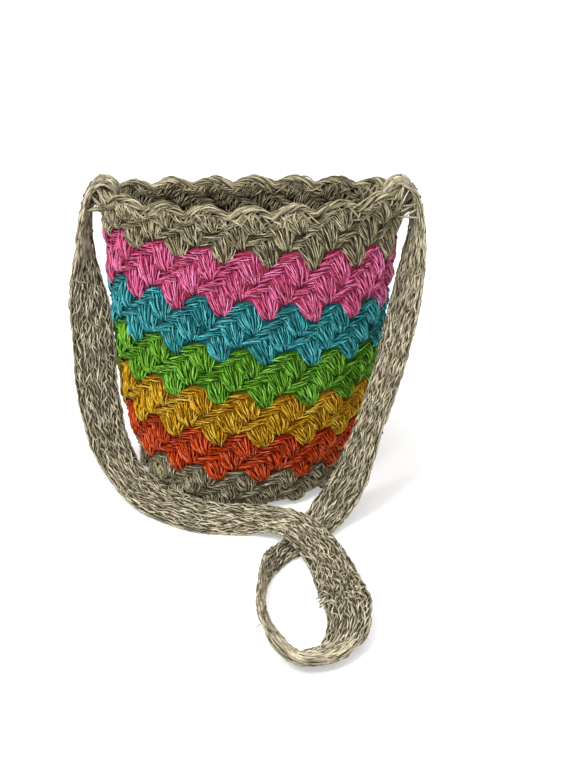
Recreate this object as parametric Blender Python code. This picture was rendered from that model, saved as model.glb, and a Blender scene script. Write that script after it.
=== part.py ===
"""Crocheted shoulder bag of fique: a round base, a wall of slanting shell stitches in
bands of colour, a finished rim and one flat knitted strap sewn on at both rim corners.

Units are metres, +Z is up and the bag stands on its base. X runs across the wide mouth
and the front faces -Y. The origin is the middle of the base's underside.
"""
import math

import bmesh
import bpy
import numpy as np

MM = 0.001

# Shell stitch lattice
SHELLS = 16                      # shells in one round
COLUMNS_PER_SHELL = 3            # each row shifts the shells by one column
ROWS_PER_BAND = 3                # after three rows the shift is a whole shell
HALF_ROWS = 2                    # steps of the surface in one row
FIRST_SHELL_SHIFT = 0.03         # share of a round from the front's middle to a shell foot
SHELL_PUFF = 5.0 * MM            # how far a shell's belly stands out of its foot
SHELL_FOOT_DEPTH = 1.5 * MM      # how far a shell's foot lies behind the measured outline
SHELL_ROUNDNESS = 0.5            # power of the belly's sine: lower is plumper

# Wall of the bag: height, half width across X, half depth along Y, as measured outside
SECTIONS = (
    (0 * MM, 99 * MM, 99 * MM),
    (30 * MM, 105 * MM, 104 * MM),
    (80 * MM, 120 * MM, 103 * MM),
    (150 * MM, 130 * MM, 93 * MM),
    (220 * MM, 136 * MM, 80 * MM),
    (260 * MM, 140 * MM, 70 * MM),
    (300 * MM, 147 * MM, 57 * MM),
)
WALL = 6.0 * MM                  # fabric from a shell's foot to the inside
LEAN = math.radians(2.35)        # the bag leans towards +X
MOUTH_DIP = 5.0 * MM             # front and back of the rim hang below its corners

# Base and the natural rows that are worked straight on from it
BASE_THICKNESS = 7.0 * MM
BASE_EDGE_RADIUS = 12.0 * MM     # round of the edge under the wall
BASE_EDGE_STEPS = 3
BASE_FLAT_SHARE = 0.55           # inner part of the underside that is one flat face
LOWER_ROWS = 2                   # rows of shells in natural yarn above the base's edge
LOWER_ROW_RISE = 11.0 * MM

# Bands of colour from the bottom up: name, rise of one row, slant of its lowest row
BANDS = (
    ("orange_rows", 12.3 * MM, math.radians(2.6)),
    ("yellow_rows", 13.7 * MM, math.radians(3.6)),
    ("green_rows", 13.8 * MM, math.radians(4.4)),
    ("teal_rows", 14.2 * MM, math.radians(4.9)),
    ("pink_rows", 16.3 * MM, math.radians(5.1)),
    ("natural_upper_rows", 15.5 * MM, math.radians(4.8)),
)
RIM_SLANT = math.radians(-0.6)
RIM_SCALLOP = 4.0 * MM           # the last shells' tops stand above the dips between them
STITCH_GAP = 0.3 * MM            # between one yarn's rows and the next

# Finished rim
EDGING_HEIGHT = 6.5 * MM
EDGING_THICKNESS = 9.0 * MM
EDGING_LINKS_PER_COLUMN = 2
EDGING_LINK_RELIEF = 1.1 * MM
EDGING_FOOT_SHARE = 0.5          # share of the edging's overhang that its foot covers
EDGING_BELLY_SHARE = 0.45        # height of its widest place, as a share of its height
EDGING_CROWN_SHARE = 0.6         # width of its top, as a share of its thickness

# Strap: middle of the band, then the direction from its one edge to the other, and its width.
# It is narrower where it is sewn on and where it twists on its edge in the loop on the floor.
STRAP_THICKNESS = 5.0 * MM
STRAP_RIBS = 3
STRAP_RIB_DEPTH = 1.2 * MM
STRAP_STEPS = 2                  # sections between two points of the route
STRAP_ROUTE = (
    ((-117, 0, 280), (0, 1, 0), 24),
    ((-118, 0, 292), (0, 1, 0), 24),
    ((-122, 0, 301), (0, 1, 0), 25),
    ((-131, 0, 306), (0, 1, 0), 26),
    ((-141, -1, 300), (0, 1, 0), 27),
    ((-147, -2, 286), (0.15, 1, 0), 28),
    ((-151, -4, 262), (0.25, 1, 0), 31),
    ((-152, -9, 236), (0.35, 0.9, 0), 35),
    ((-151, -15, 208), (0.7, 0.75, 0), 38),
    ((-148, -23, 180), (0.95, 0.45, 0), 40),
    ((-145, -31, 150), (1, 0.15, 0), 40),
    ((-144, -38, 117), (1, 0.1, 0), 40),
    ((-140, -44, 83), (0.95, 0.3, 0), 40),
    ((-132, -52, 50), (0.85, 0.5, 0), 40),
    ((-117, -66, 25), (0.65, 0.75, 0.1), 40),
    ((-93, -88, 11), (0.4, 0.9, 0.25), 40),
    ((-66, -112, 7), (0.25, 0.95, 0.2), 40),
    ((-35, -129, 5), (0.1, 1, 0.16), 40),
    ((-2, -134, 5), (0.05, 1, 0.16), 40),
    ((27, -138, 10), (0.2, 1, 0.12), 40),
    ((50, -153, 14), (0.5, 0.85, 0.05), 40),
    ((65, -175, 14), (0.6, 0.8, 0), 40),
    ((77, -201, 13), (0.75, 0.65, 0), 40),
    ((86, -227, 11), (0.9, 0.4, 0), 40),
    ((91, -253, 11), (0.95, 0.2, 0.1), 40),
    ((95, -280, 15), (0.95, 0, 0.25), 40),
    ((98, -307, 21), (0.92, -0.2, 0.25), 39),
    ((96, -331, 12), (0.8, -0.5, 0.2), 38),
    ((85, -350, 7), (0.45, -0.85, 0.3), 37),
    ((72, -359, 7), (0.15, -0.95, 0.3), 37),
    ((57, -362, 8), (-0.15, -0.95, 0.35), 36),
    ((43, -352, 11), (-0.35, -0.75, 0.55), 35),
    ((33, -332, 14), (-0.4, -0.5, 0.75), 32),
    ((26, -309, 14), (-0.35, -0.2, 0.9), 28),
    ((23, -281, 13), (-0.15, 0, 1), 25),
    ((24, -250, 13), (-0.1, 0.2, 1), 24),
    ((30, -220, 11), (-0.3, 0.3, 0.8), 21),
    ((41, -194, 7), (-0.7, 0.5, 0.4), 20),
    ((55, -173, 4), (-0.75, 0.6, 0.05), 27),
    ((69, -151, 4), (-0.75, 0.65, 0), 35),
    ((85, -126, 12), (-0.7, 0.65, 0.05), 40),
    ((105, -110, 37), (-0.7, 0.7, 0), 41),
    ((116, -100, 63), (-0.6, 0.8, 0), 40),
    ((126, -88, 90), (-0.5, 0.85, 0), 40),
    ((137, -72, 117), (-0.5, 0.85, 0), 40),
    ((147, -56, 144), (-0.55, 0.85, 0), 40),
    ((155, -42, 173), (-0.6, 0.8, 0), 40),
    ((162, -28, 203), (-0.6, 0.8, 0), 38),
    ((168, -15, 233), (-0.5, 0.85, 0), 35),
    ((171, -7, 260), (-0.35, 0.95, 0), 31),
    ((169, -3, 284), (-0.25, 0.95, 0), 29),
    ((164, -1, 299), (-0.1, 1, 0), 28),
    ((154, 0, 306), (0, 1, 0), 26),
    ((144, 0, 301), (0, 1, 0), 25),
    ((140, 0, 292), (0, 1, 0), 24),
    ((139, 0, 280), (0, 1, 0), 24),
)

# Sewing yarn that lashes each strap end down
LASHING_RADIUS = 1.1 * MM
LASHING_PASSES = 5
LASHING_PITCH = 0.22             # route points between two passes
LASHING_START = 4.0              # route point where the first pass lies, from either end
LASHING_REACH = 0.8              # share of the strap's width that a pass crosses
LASHING_GAP = 0.3 * MM
LASHING_STEPS = 6                # points along one pass
LASHING_SIDES = 6

NATURAL = (0.42, 0.36, 0.24)
NATURAL_STRAP = (0.44, 0.38, 0.26)
COLOURS = {
    "orange_rows": (0.62, 0.09, 0.02),
    "yellow_rows": (0.65, 0.31, 0.015),
    "green_rows": (0.12, 0.37, 0.03),
    "teal_rows": (0.06, 0.31, 0.38),
    "pink_rows": (0.74, 0.10, 0.30),
    "natural_upper_rows": NATURAL,
}
YARN_ROUGHNESS = 0.85

COLUMNS = SHELLS * COLUMNS_PER_SHELL
ARC_SAMPLES = 720                # straight steps that measure a round of the wall
SHARP_ANGLE = math.radians(50)   # edges sharper than this stay sharp when shaded
TANGENT_STEP = 0.001             # route step over which the strap's direction is taken


def clear_scene():
    """Removes whatever the file already holds."""
    for obj in list(bpy.data.objects):
        bpy.data.objects.remove(obj, do_unlink=True)


def yarn(name, colour):
    """A matt yarn of one colour."""
    material = bpy.data.materials.new(name)
    material.use_nodes = True
    shader = material.node_tree.nodes["Principled BSDF"]
    shader.inputs["Base Color"].default_value = (*colour, 1.0)
    shader.inputs["Roughness"].default_value = YARN_ROUGHNESS
    shader.inputs["Metallic"].default_value = 0.0
    return material


def add_node(name, bm, colour):
    """Turns a bmesh into a named object with its own yarn."""
    bmesh.ops.recalc_face_normals(bm, faces=bm.faces)
    mesh = bpy.data.meshes.new(name)
    bm.to_mesh(mesh)
    bm.free()
    mesh.materials.append(yarn(name + "_yarn", colour))
    mesh.shade_smooth()
    mesh.set_sharp_from_angle(angle=SHARP_ANGLE)
    obj = bpy.data.objects.new(name, mesh)
    bpy.context.scene.collection.objects.link(obj)
    return obj


def curve_at(padded, t):
    """Point of a Catmull-Rom curve at route position t, from points padded at both ends."""
    i = min(int(t), len(padded) - 4)
    u = t - i
    a, b, c, d = padded[i:i + 4]
    return 0.5 * (2 * b + (c - a) * u + (2 * a - 5 * b + 4 * c - d) * u * u
                  + (3 * b - a - 3 * c + d) * u ** 3)


def interpolate_sections(height, column):
    """Half width (column 1) or half depth (column 2) of the wall, smooth between sections."""
    table = np.array(SECTIONS)
    heights = table[:, 0]
    values = table[:, column]
    slopes = np.gradient(values, heights)
    height = np.clip(height, heights[0], heights[-1])
    i = np.clip(np.searchsorted(heights, height) - 1, 0, len(heights) - 2)
    span = heights[i + 1] - heights[i]
    u = (height - heights[i]) / span
    h00 = (1 + 2 * u) * (1 - u) ** 2
    h10 = u * (1 - u) ** 2
    h01 = u * u * (3 - 2 * u)
    h11 = u * u * (u - 1)
    return h00 * values[i] + h10 * span * slopes[i] + h01 * values[i + 1] + h11 * span * slopes[i + 1]


def angle_of_share(half_width, half_depth, share):
    """Ellipse angle that lies a share of the round from the front, going towards +X."""
    angles = np.linspace(0, 2 * np.pi, ARC_SAMPLES + 1) - np.pi / 2
    steps = np.hypot(half_width * np.diff(np.cos(angles)), half_depth * np.diff(np.sin(angles)))
    length = np.concatenate([[0], np.cumsum(steps)])
    turns = math.floor(share)
    return float(np.interp(share - turns, length / length[-1], angles)) + 2 * np.pi * turns


LEVELS = [LOWER_ROWS * LOWER_ROW_RISE + BASE_EDGE_RADIUS - STITCH_GAP]
for band_name, row_rise, band_slant in BANDS:
    LEVELS.append(LEVELS[-1] + ROWS_PER_BAND * row_rise)
SLANTS = [band_slant for band_name, row_rise, band_slant in BANDS] + [RIM_SLANT]
FIRST_ROW = -LOWER_ROWS
LAST_ROW = ROWS_PER_BAND * len(BANDS)


def level_of_row(row):
    """Height of a lattice row at the bag's middle; rows count from the orange rows' foot."""
    if row < 0:
        return LEVELS[0] + row * LOWER_ROW_RISE
    marks = np.arange(len(LEVELS)) * ROWS_PER_BAND
    return float(np.interp(row, marks, LEVELS))


def slant_of_row(row):
    """Slope of a row across X; it fades out towards the base."""
    marks = np.concatenate([[FIRST_ROW - 1], np.arange(len(SLANTS)) * ROWS_PER_BAND])
    slopes = np.concatenate([[0.0], np.tan(SLANTS)])
    return float(np.interp(row, marks, slopes))


def belly(column, row):
    """Puff of the shells at a lattice point: 0 along a shell's edges and 1 on its belly.

    A shell's tile is a diamond whose edges run one column right and one row up, and two
    columns left and one row up, so the two sines vanish on them, and on every other tile's.
    """
    along_right = (column + 2 * row) / 3
    along_left = (row - column) / 3
    swell = abs(math.sin(math.pi * along_right) * math.sin(math.pi * along_left))
    return swell ** SHELL_ROUNDNESS


def wall_point(column, row, outward, drop=0.0):
    """Point of the wall at a lattice place, so far outside the measured outline."""
    share = FIRST_SHELL_SHIFT + column / COLUMNS
    level = level_of_row(row)
    half_width = interpolate_sections(level, 1)
    half_depth = interpolate_sections(level, 2)
    angle = angle_of_share(half_width, half_depth, share)
    side = half_width * math.cos(angle)
    mouth = np.clip((row - LAST_ROW + ROWS_PER_BAND) / ROWS_PER_BAND, 0, 1)
    height = level - side * slant_of_row(row) - MOUTH_DIP * mouth * math.sin(angle) ** 2 - drop
    last = np.clip(row - LAST_ROW + 1, 0, 1)
    height += RIM_SCALLOP * last * (abs(math.sin(math.pi * column / COLUMNS_PER_SHELL)) - 0.5)
    half_width = interpolate_sections(height, 1)
    half_depth = interpolate_sections(height, 2)
    normal = np.array([math.cos(angle) / half_width, math.sin(angle) / half_depth])
    normal /= np.linalg.norm(normal)
    x = half_width * math.cos(angle) + outward * normal[0]
    y = half_depth * math.sin(angle) + outward * normal[1]
    return (x + height * math.tan(LEAN), y, height)


def edge_row(column, band_row):
    """A band's lower edge: it dips to the feet and steps up one row over the shells below."""
    foot = (column - band_row) % COLUMNS_PER_SHELL == 0
    return band_row if foot else band_row + 1


def cut_quad(bm, a, b, c, d, from_a):
    """Two triangles for a quad, cut from its first corner or from its second."""
    if from_a:
        bm.faces.new((a, b, c))
        bm.faces.new((a, c, d))
    else:
        bm.faces.new((a, b, d))
        bm.faces.new((b, c, d))


def skin(bm, rings, close_rings=True, other_cut=()):
    """Triangles between rings of points; the strips in other_cut take the other diagonal,
    so that two yarns that lie on each other are cut alike where they meet."""
    verts = [[bm.verts.new(p) for p in ring] for ring in rings]
    last = len(verts) if close_rings else len(verts) - 1
    for i in range(last):
        here = verts[i]
        there = verts[(i + 1) % len(verts)]
        for j in range(len(here)):
            k = (j + 1) % len(here)
            cut_quad(bm, here[j], here[k], there[k], there[j], j not in other_cut)
    return verts


def outer_profile(column, lower, steps):
    """Outer surface of one column from a band's lower edge up, with the shells' relief."""
    points = []
    for i in range(steps + 1):
        row = edge_row(column, lower) + i / HALF_ROWS
        drop = STITCH_GAP if i == steps else 0.0
        puff = SHELL_PUFF * belly(column, row) - SHELL_FOOT_DEPTH
        points.append(wall_point(column, row, puff, drop))
    return points


def make_band(name, index):
    """One yarn's rows: a ring whose lower and upper edges follow the shells."""
    lower = index * ROWS_PER_BAND
    top_band = index == len(BANDS) - 1
    rings = []
    for column in range(COLUMNS):
        steps = ROWS_PER_BAND * HALF_ROWS
        if top_band:
            steps -= HALF_ROWS * (edge_row(column, lower) - lower)
        rows = steps / HALF_ROWS
        start = edge_row(column, lower)
        points = outer_profile(column, lower, steps)
        if top_band:
            points = fixed_count(points, ROWS_PER_BAND * HALF_ROWS + 1)
        points.append(wall_point(column, start + rows, -WALL, STITCH_GAP))
        points.append(wall_point(column, start, -WALL))
        rings.append(points)
    bm = bmesh.new()
    skin(bm, rings, other_cut=(len(rings[0]) - 1,))
    return add_node(name, bm, COLOURS[name])


def fixed_count(points, count):
    """The same profile with a set number of points, spaced evenly along its steps."""
    points = np.asarray(points)
    old = np.arange(len(points))
    new = np.linspace(0, len(points) - 1, count)
    return [tuple(np.interp(t, old, points[:, axis]) for axis in range(3)) for t in new]


def make_base():
    """Round base with a flat underside, its rounded edge and the natural rows above it."""
    rings = []
    for column in range(COLUMNS):
        share = FIRST_SHELL_SHIFT + column / COLUMNS
        angle = angle_of_share(1.0, 1.0, share)
        radius = SECTIONS[0][1]
        points = []
        flat = (radius - BASE_EDGE_RADIUS) * BASE_FLAT_SHARE
        points.append((flat * math.cos(angle), flat * math.sin(angle), 0.0))
        for i in range(BASE_EDGE_STEPS):
            turn = 0.5 * math.pi * i / BASE_EDGE_STEPS
            reach = radius - BASE_EDGE_RADIUS * (1 - math.sin(turn))
            rise = BASE_EDGE_RADIUS * (1 - math.cos(turn))
            points.append((reach * math.cos(angle), reach * math.sin(angle), rise))
        steps = (edge_row(column, 0) + LOWER_ROWS) * HALF_ROWS
        wall = []
        for i in range(steps + 1):
            row = FIRST_ROW + i / HALF_ROWS
            drop = STITCH_GAP if i == steps else 0.0
            puff = SHELL_PUFF * belly(column, row) - SHELL_FOOT_DEPTH
            wall.append(wall_point(column, row, puff, drop))
        points += fixed_count(wall, LOWER_ROWS * HALF_ROWS + 2)
        points.append(wall_point(column, edge_row(column, 0), -WALL, STITCH_GAP))
        inner = radius - WALL
        points.append((inner * math.cos(angle), inner * math.sin(angle), BASE_THICKNESS))
        rings.append(points)
    bm = bmesh.new()
    verts = [[bm.verts.new(p) for p in ring] for ring in rings]
    for i in range(COLUMNS):
        here = verts[i]
        there = verts[(i + 1) % COLUMNS]
        for j in range(len(here) - 1):
            cut_quad(bm, here[j], here[j + 1], there[j + 1], there[j], True)
    bm.faces.new([ring[0] for ring in verts])
    bm.faces.new([ring[-1] for ring in verts])
    return add_node("natural_base", bm, NATURAL)


def make_rim():
    """Finishing round of chain stitches that sits on the upper rows all the way round."""
    rings = []
    half = EDGING_THICKNESS / 2
    outside = (EDGING_THICKNESS - WALL) / 2
    for column in range(COLUMNS):
        low_out = np.array(wall_point(column, LAST_ROW, -SHELL_FOOT_DEPTH))
        low_in = np.array(wall_point(column, LAST_ROW, -WALL))
        next_out = np.array(wall_point(column + 1, LAST_ROW, -SHELL_FOOT_DEPTH))
        next_in = np.array(wall_point(column + 1, LAST_ROW, -WALL))
        for link in range(EDGING_LINKS_PER_COLUMN):
            share = link / EDGING_LINKS_PER_COLUMN
            foot_out = low_out * (1 - share) + next_out * share
            foot_in = low_in * (1 - share) + next_in * share
            across = (foot_out - foot_in) / np.linalg.norm(foot_out - foot_in)
            middle = (foot_out + foot_in) / 2
            swell = EDGING_LINK_RELIEF * (1 if link % 2 else -1)
            up = np.array([0, 0, 1.0])
            top = EDGING_HEIGHT + swell
            out = half + swell / 2
            belly_up = up * EDGING_HEIGHT * EDGING_BELLY_SHARE
            crown = across * out * EDGING_CROWN_SHARE
            rings.append([
                tuple(foot_in),
                tuple(foot_out + across * outside * EDGING_FOOT_SHARE),
                tuple(middle + across * out + belly_up),
                tuple(middle + crown + up * top),
                tuple(middle - crown + up * top),
                tuple(middle - across * out + belly_up),
            ])
    bm = bmesh.new()
    skin(bm, rings)
    return add_node("rim_edging", bm, NATURAL)


def strap_frame(t, routes):
    """Middle, direction across and face normal of the strap at route position t."""
    middle, across, width = (curve_at(r, t) for r in routes)
    ahead = curve_at(routes[0], min(t + TANGENT_STEP, len(STRAP_ROUTE) - 1))
    behind = curve_at(routes[0], max(t - TANGENT_STEP, 0))
    along = (ahead - behind) / np.linalg.norm(ahead - behind)
    across = across - along * np.dot(across, along)
    across /= np.linalg.norm(across)
    return middle, across, np.cross(along, across), width[0]


def padded_routes():
    """The route's middles, directions and widths, each lengthened by a point at both ends."""
    routes = []
    for column in range(3):
        values = np.array([np.atleast_1d(row[column]) for row in STRAP_ROUTE], float)
        if column != 1:
            values *= MM
        first = 2 * values[0] - values[1]
        last = 2 * values[-1] - values[-2]
        routes.append(np.vstack([first[None], values, last[None]]))
    return routes


def strap_section(middle, across, normal, width):
    """One closed section of the strap: ribs of yarn along both faces."""
    count = 2 * STRAP_RIBS
    points = []
    for side in (1, -1):
        for i in range(count):
            share = -1 + 2 * i / count
            if side < 0:
                share = -share
            crest = i % 2 == 1
            half = STRAP_THICKNESS / 2 - (0 if crest else STRAP_RIB_DEPTH)
            if i == 0:
                half = 0.0
            points.append(tuple(middle + across * share * width / 2 + normal * side * half))
    return points


def make_strap():
    """The whole strap, from its end inside one corner to its end inside the other."""
    routes = padded_routes()
    sections = []
    for step in range((len(STRAP_ROUTE) - 1) * STRAP_STEPS + 1):
        sections.append(strap_section(*strap_frame(step / STRAP_STEPS, routes)))
    bm = bmesh.new()
    verts = skin(bm, sections, close_rings=False)
    bm.faces.new(verts[0])
    bm.faces.new(verts[-1])
    return add_node("strap", bm, NATURAL_STRAP)


def make_lashing(name, from_end):
    """Sewing yarn that runs back and forth over a strap end where it leaves the rim."""
    routes = padded_routes()
    reach = STRAP_THICKNESS / 2 + LASHING_GAP + LASHING_RADIUS
    path = []
    for step in range(LASHING_PASSES * LASHING_STEPS + 1):
        pass_share = step / LASHING_STEPS
        t = LASHING_START + LASHING_PITCH * pass_share
        if from_end:
            t = len(STRAP_ROUTE) - 1 - t
        middle, across, normal, width = strap_frame(t, routes)
        swing = math.cos(math.pi * pass_share) * LASHING_REACH * width / 2
        outer = normal if normal[0] * middle[0] > 0 else -normal
        path.append(middle + across * swing + outer * reach)
    path = np.array(path)
    bm = bmesh.new()
    rings = []
    for i, point in enumerate(path):
        along = path[min(i + 1, len(path) - 1)] - path[max(i - 1, 0)]
        along /= np.linalg.norm(along)
        side = np.cross(along, (0.0, 0.0, 1.0))
        side /= np.linalg.norm(side)
        up = np.cross(side, along)
        ring = []
        for j in range(LASHING_SIDES):
            turn = 2 * math.pi * j / LASHING_SIDES
            ring.append(tuple(point + LASHING_RADIUS * (math.cos(turn) * side + math.sin(turn) * up)))
        rings.append(ring)
    verts = skin(bm, rings, close_rings=False)
    bm.faces.new(verts[0])
    bm.faces.new(verts[-1])
    return add_node(name, bm, NATURAL_STRAP)


clear_scene()
make_base()
for band_index, (band_name, row_rise, band_slant) in enumerate(BANDS):
    make_band(band_name, band_index)
make_rim()
make_strap()
make_lashing("strap_lashing_left", from_end=False)
make_lashing("strap_lashing_right", from_end=True)
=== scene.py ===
# %% [markdown]
# # A crocheted shoulder bag, strand by strand
# The bag is worked in thick fique yarn: a round base, a wall of slanting shell stitches in
# bands of colour, a finishing round at the mouth and one long flat strap. The construction
# file holds the solids. Here each yarn gets its real surface: thousands of short strands,
# each a thin tube along a curve, worked out with numpy for a whole band at once.

# %% Load the frame
import math

import bpy
import numpy as np
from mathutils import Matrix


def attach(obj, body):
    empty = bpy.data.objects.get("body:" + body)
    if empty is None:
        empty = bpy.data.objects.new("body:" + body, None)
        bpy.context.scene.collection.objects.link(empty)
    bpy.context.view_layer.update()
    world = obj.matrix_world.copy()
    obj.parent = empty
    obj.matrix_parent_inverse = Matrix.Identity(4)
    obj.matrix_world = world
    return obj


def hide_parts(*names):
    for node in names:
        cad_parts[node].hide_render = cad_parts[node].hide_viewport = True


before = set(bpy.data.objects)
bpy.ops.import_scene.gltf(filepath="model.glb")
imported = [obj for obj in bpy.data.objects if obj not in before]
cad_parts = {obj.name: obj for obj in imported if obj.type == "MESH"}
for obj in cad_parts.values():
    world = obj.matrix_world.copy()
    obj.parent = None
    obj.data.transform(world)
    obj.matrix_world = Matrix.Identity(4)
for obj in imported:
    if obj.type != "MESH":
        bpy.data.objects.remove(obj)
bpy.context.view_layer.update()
MM = 0.001
print("the frame holds", sorted(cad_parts))


def put(name, data):
    """A new object in the scene, at the origin."""
    obj = bpy.data.objects.new(name, data)
    bpy.context.scene.collection.objects.link(obj)
    return obj


# %% [markdown]
# ## Camera
# The photograph looks down on the bag by about 24 degrees from the front, with a long lens.
# The values come from fitting the rounds of shells to the picture, so every stitch of the
# front lands where the photograph has it.

# %% Camera
CAMERA_PLACE = (0.0461, -1.3915, 0.7214)
CAMERA_PITCH = math.radians(24.39)
CAMERA_LENS = 93.64
SENSOR_WIDTH = 36.0

camera_data = bpy.data.cameras.new("camera")
camera_data.lens = CAMERA_LENS
camera_data.sensor_width = SENSOR_WIDTH
camera_data.sensor_fit = "HORIZONTAL"
camera_data.clip_end = 50.0
camera = put("camera", camera_data)
camera.location = CAMERA_PLACE
camera.rotation_euler = (math.pi / 2 - CAMERA_PITCH, 0, 0)
bpy.context.scene.camera = camera
bpy.context.scene.view_settings.view_transform = "Standard"
print("camera lens %.1f mm, pitched down %.1f degrees" % (CAMERA_LENS, math.degrees(CAMERA_PITCH)))

# %% [markdown]
# ## The stitch lattice
# Crochet has its own coordinates. A *column* is a third of a shell along the round, a *row*
# is one round of shells, and each row shifts its shells by one column, which makes them
# slant. One function turns column, row and distance from the wall into a point in metres,
# so a strand is drawn flat in stitches and lands on the bag.

# %% Sizes of the wall
SHELLS = 16
COLUMNS_PER_SHELL = 3
COLUMNS = SHELLS * COLUMNS_PER_SHELL
ROWS_PER_BAND = 3
FIRST_SHELL_SHIFT = 0.03
SECTIONS = MM * np.array((      # height, half width, half depth
    (0, 99, 99),
    (30, 105, 104),
    (80, 120, 103),
    (150, 130, 93),
    (220, 136, 80),
    (260, 140, 70),
    (300, 147, 57),
))
WALL = 6.0 * MM
LEAN = math.radians(2.35)
MOUTH_DIP = 5.0 * MM
BACK_DIP = 4.5 * MM             # how much lower than the front the soft back of the mouth sags
RIM_SCALLOP = 8.0 * MM
BASE_EDGE_RADIUS = 12.0 * MM
EDGE_TURN = 0.62                # angle round the base's edge that one more row below takes
EDGE_TURN_END = 1.4             # where the strands round the edge stop, close to the floor
EDGE_FLATTENS = 0.5             # share of the shells' relief that is lost there
BASE_THICKNESS = 7.0 * MM
LOWER_ROWS = 2
LOWER_ROW_RISE = 11.0 * MM
STITCH_GAP = 0.3 * MM
BANDS = (                       # node, rise of a row in mm, slant of its lowest row
    ("orange_rows", 12.3, 2.6),
    ("yellow_rows", 13.7, 3.6),
    ("green_rows", 13.8, 4.4),
    ("teal_rows", 14.2, 4.9),
    ("pink_rows", 16.3, 5.1),
    ("natural_upper_rows", 15.5, 4.8),
)
RIM_SLANT = -0.6

FIRST_ROW = -LOWER_ROWS
LAST_ROW = ROWS_PER_BAND * len(BANDS)
FIRST_LEVEL = LOWER_ROWS * LOWER_ROW_RISE + BASE_EDGE_RADIUS - STITCH_GAP
RISES = MM * ROWS_PER_BAND * np.array([rise for node, rise, slant in BANDS])
LEVEL_ROWS = np.concatenate([[FIRST_ROW], np.arange(len(BANDS) + 1) * ROWS_PER_BAND])
LEVELS = FIRST_LEVEL + np.concatenate([[-LOWER_ROWS * LOWER_ROW_RISE, 0], np.cumsum(RISES)])
SLANT_ROWS = np.concatenate([[FIRST_ROW - 1], LEVEL_ROWS[1:]])
SLANTS = np.tan(np.radians([0] + [slant for node, rise, slant in BANDS] + [RIM_SLANT]))
print("rows", FIRST_ROW, "to", LAST_ROW, "reach from %.3f to %.3f m" % (LEVELS[0], LEVELS[-1]))

# %% Points on the wall
TABLE_ROWS = np.linspace(FIRST_ROW, LAST_ROW, 201)
TABLE_SHARES = np.linspace(0, 1, 721)


def half_sizes(height):
    """Half width and half depth at a height: a cubic curve through the measured sections."""
    heights = SECTIONS[:, 0]
    height = np.clip(height, heights[0], heights[-1])
    i = np.clip(np.searchsorted(heights, height) - 1, 0, len(heights) - 2)
    span = heights[i + 1] - heights[i]
    u = (height - heights[i]) / span
    sizes = []
    for column in (1, 2):
        values = SECTIONS[:, column]
        slopes = np.gradient(values, heights)
        ends = (1 + 2 * u) * (1 - u) ** 2 * values[i] + u * u * (3 - 2 * u) * values[i + 1]
        turns = span * (u * (1 - u) ** 2 * slopes[i] + u * u * (u - 1) * slopes[i + 1])
        sizes.append(ends + turns)
    return sizes


def share_angles():
    """For the ellipse of each row, the angle reached after each equal share of its round.

    The running sum of short chords gives length against angle, and it is read backwards.
    """
    wide, deep = half_sizes(np.interp(TABLE_ROWS, LEVEL_ROWS, LEVELS))
    angles = 2 * np.pi * TABLE_SHARES - np.pi / 2
    steps = (np.diff(np.cos(angles)), np.diff(np.sin(angles)))
    chords = np.hypot(np.outer(wide, steps[0]), np.outer(deep, steps[1]))
    lengths = np.pad(np.cumsum(chords, axis=1), ((0, 0), (1, 0)))
    return np.array([np.interp(TABLE_SHARES, run / run[-1], angles) for run in lengths])


ANGLES = share_angles()


def on_wall(column, row, outward=0.0):
    """Points of the wall at stitch places, so far outside the measured outline.

    The column gives a share of the round, the share an angle on the row's ellipse. The
    height is the row's level, less the slant across X and the dip of the mouth, plus the
    scallops of the last row. The ellipse is taken again at that height, and outward runs
    along its normal. Leaning shifts X with the height. Rows below the first go on round
    the base's rounded edge, a quarter circle turned by EDGE_TURN a row.
    """
    column, row, outward = np.broadcast_arrays(*(np.asarray(a, float) for a in (column, row, outward)))
    turn = np.clip(EDGE_TURN * (FIRST_ROW - row), 0, EDGE_TURN_END)
    row = np.clip(row, FIRST_ROW, LAST_ROW)
    share = np.mod(FIRST_SHELL_SHIFT + column / COLUMNS, 1.0) * (len(TABLE_SHARES) - 1)
    line = (row - FIRST_ROW) / (LAST_ROW - FIRST_ROW) * (len(TABLE_ROWS) - 1)
    j = np.minimum(share.astype(int), len(TABLE_SHARES) - 2)
    i = np.minimum(line.astype(int), len(TABLE_ROWS) - 2)
    v, u = line - i, share - j
    angle = (1 - v) * ((1 - u) * ANGLES[i, j] + u * ANGLES[i, j + 1])
    angle += v * ((1 - u) * ANGLES[i + 1, j] + u * ANGLES[i + 1, j + 1])
    level = np.interp(row, LEVEL_ROWS, LEVELS)
    wide, deep = half_sizes(level)
    mouth = np.clip((row - LAST_ROW + ROWS_PER_BAND) / ROWS_PER_BAND, 0, 1)
    last = np.clip(row - LAST_ROW + 1, 0, 1)
    height = level - wide * np.cos(angle) * np.interp(row, SLANT_ROWS, SLANTS)
    height -= mouth * (MOUTH_DIP * np.sin(angle) ** 2 + BACK_DIP * np.clip(np.sin(angle), 0, 1))
    height += RIM_SCALLOP * last * (np.abs(np.sin(np.pi * column / COLUMNS_PER_SHELL)) - 0.5)
    wide, deep = half_sizes(height)
    normal = np.stack([np.cos(angle) / wide, np.sin(angle) / deep])
    normal /= np.linalg.norm(normal, axis=0)
    outward = outward * (1 - EDGE_FLATTENS * np.sin(turn))
    away = outward * np.cos(turn) - BASE_EDGE_RADIUS * (1 - np.cos(turn))
    x = wide * np.cos(angle) + away * normal[0] + height * math.tan(LEAN)
    y = deep * np.sin(angle) + away * normal[1]
    height = height - (BASE_EDGE_RADIUS + outward) * np.sin(turn)
    return np.stack([x, y, height], axis=-1)


print("front of the mouth at", np.round(on_wall(0, LAST_ROW), 3))

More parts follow.
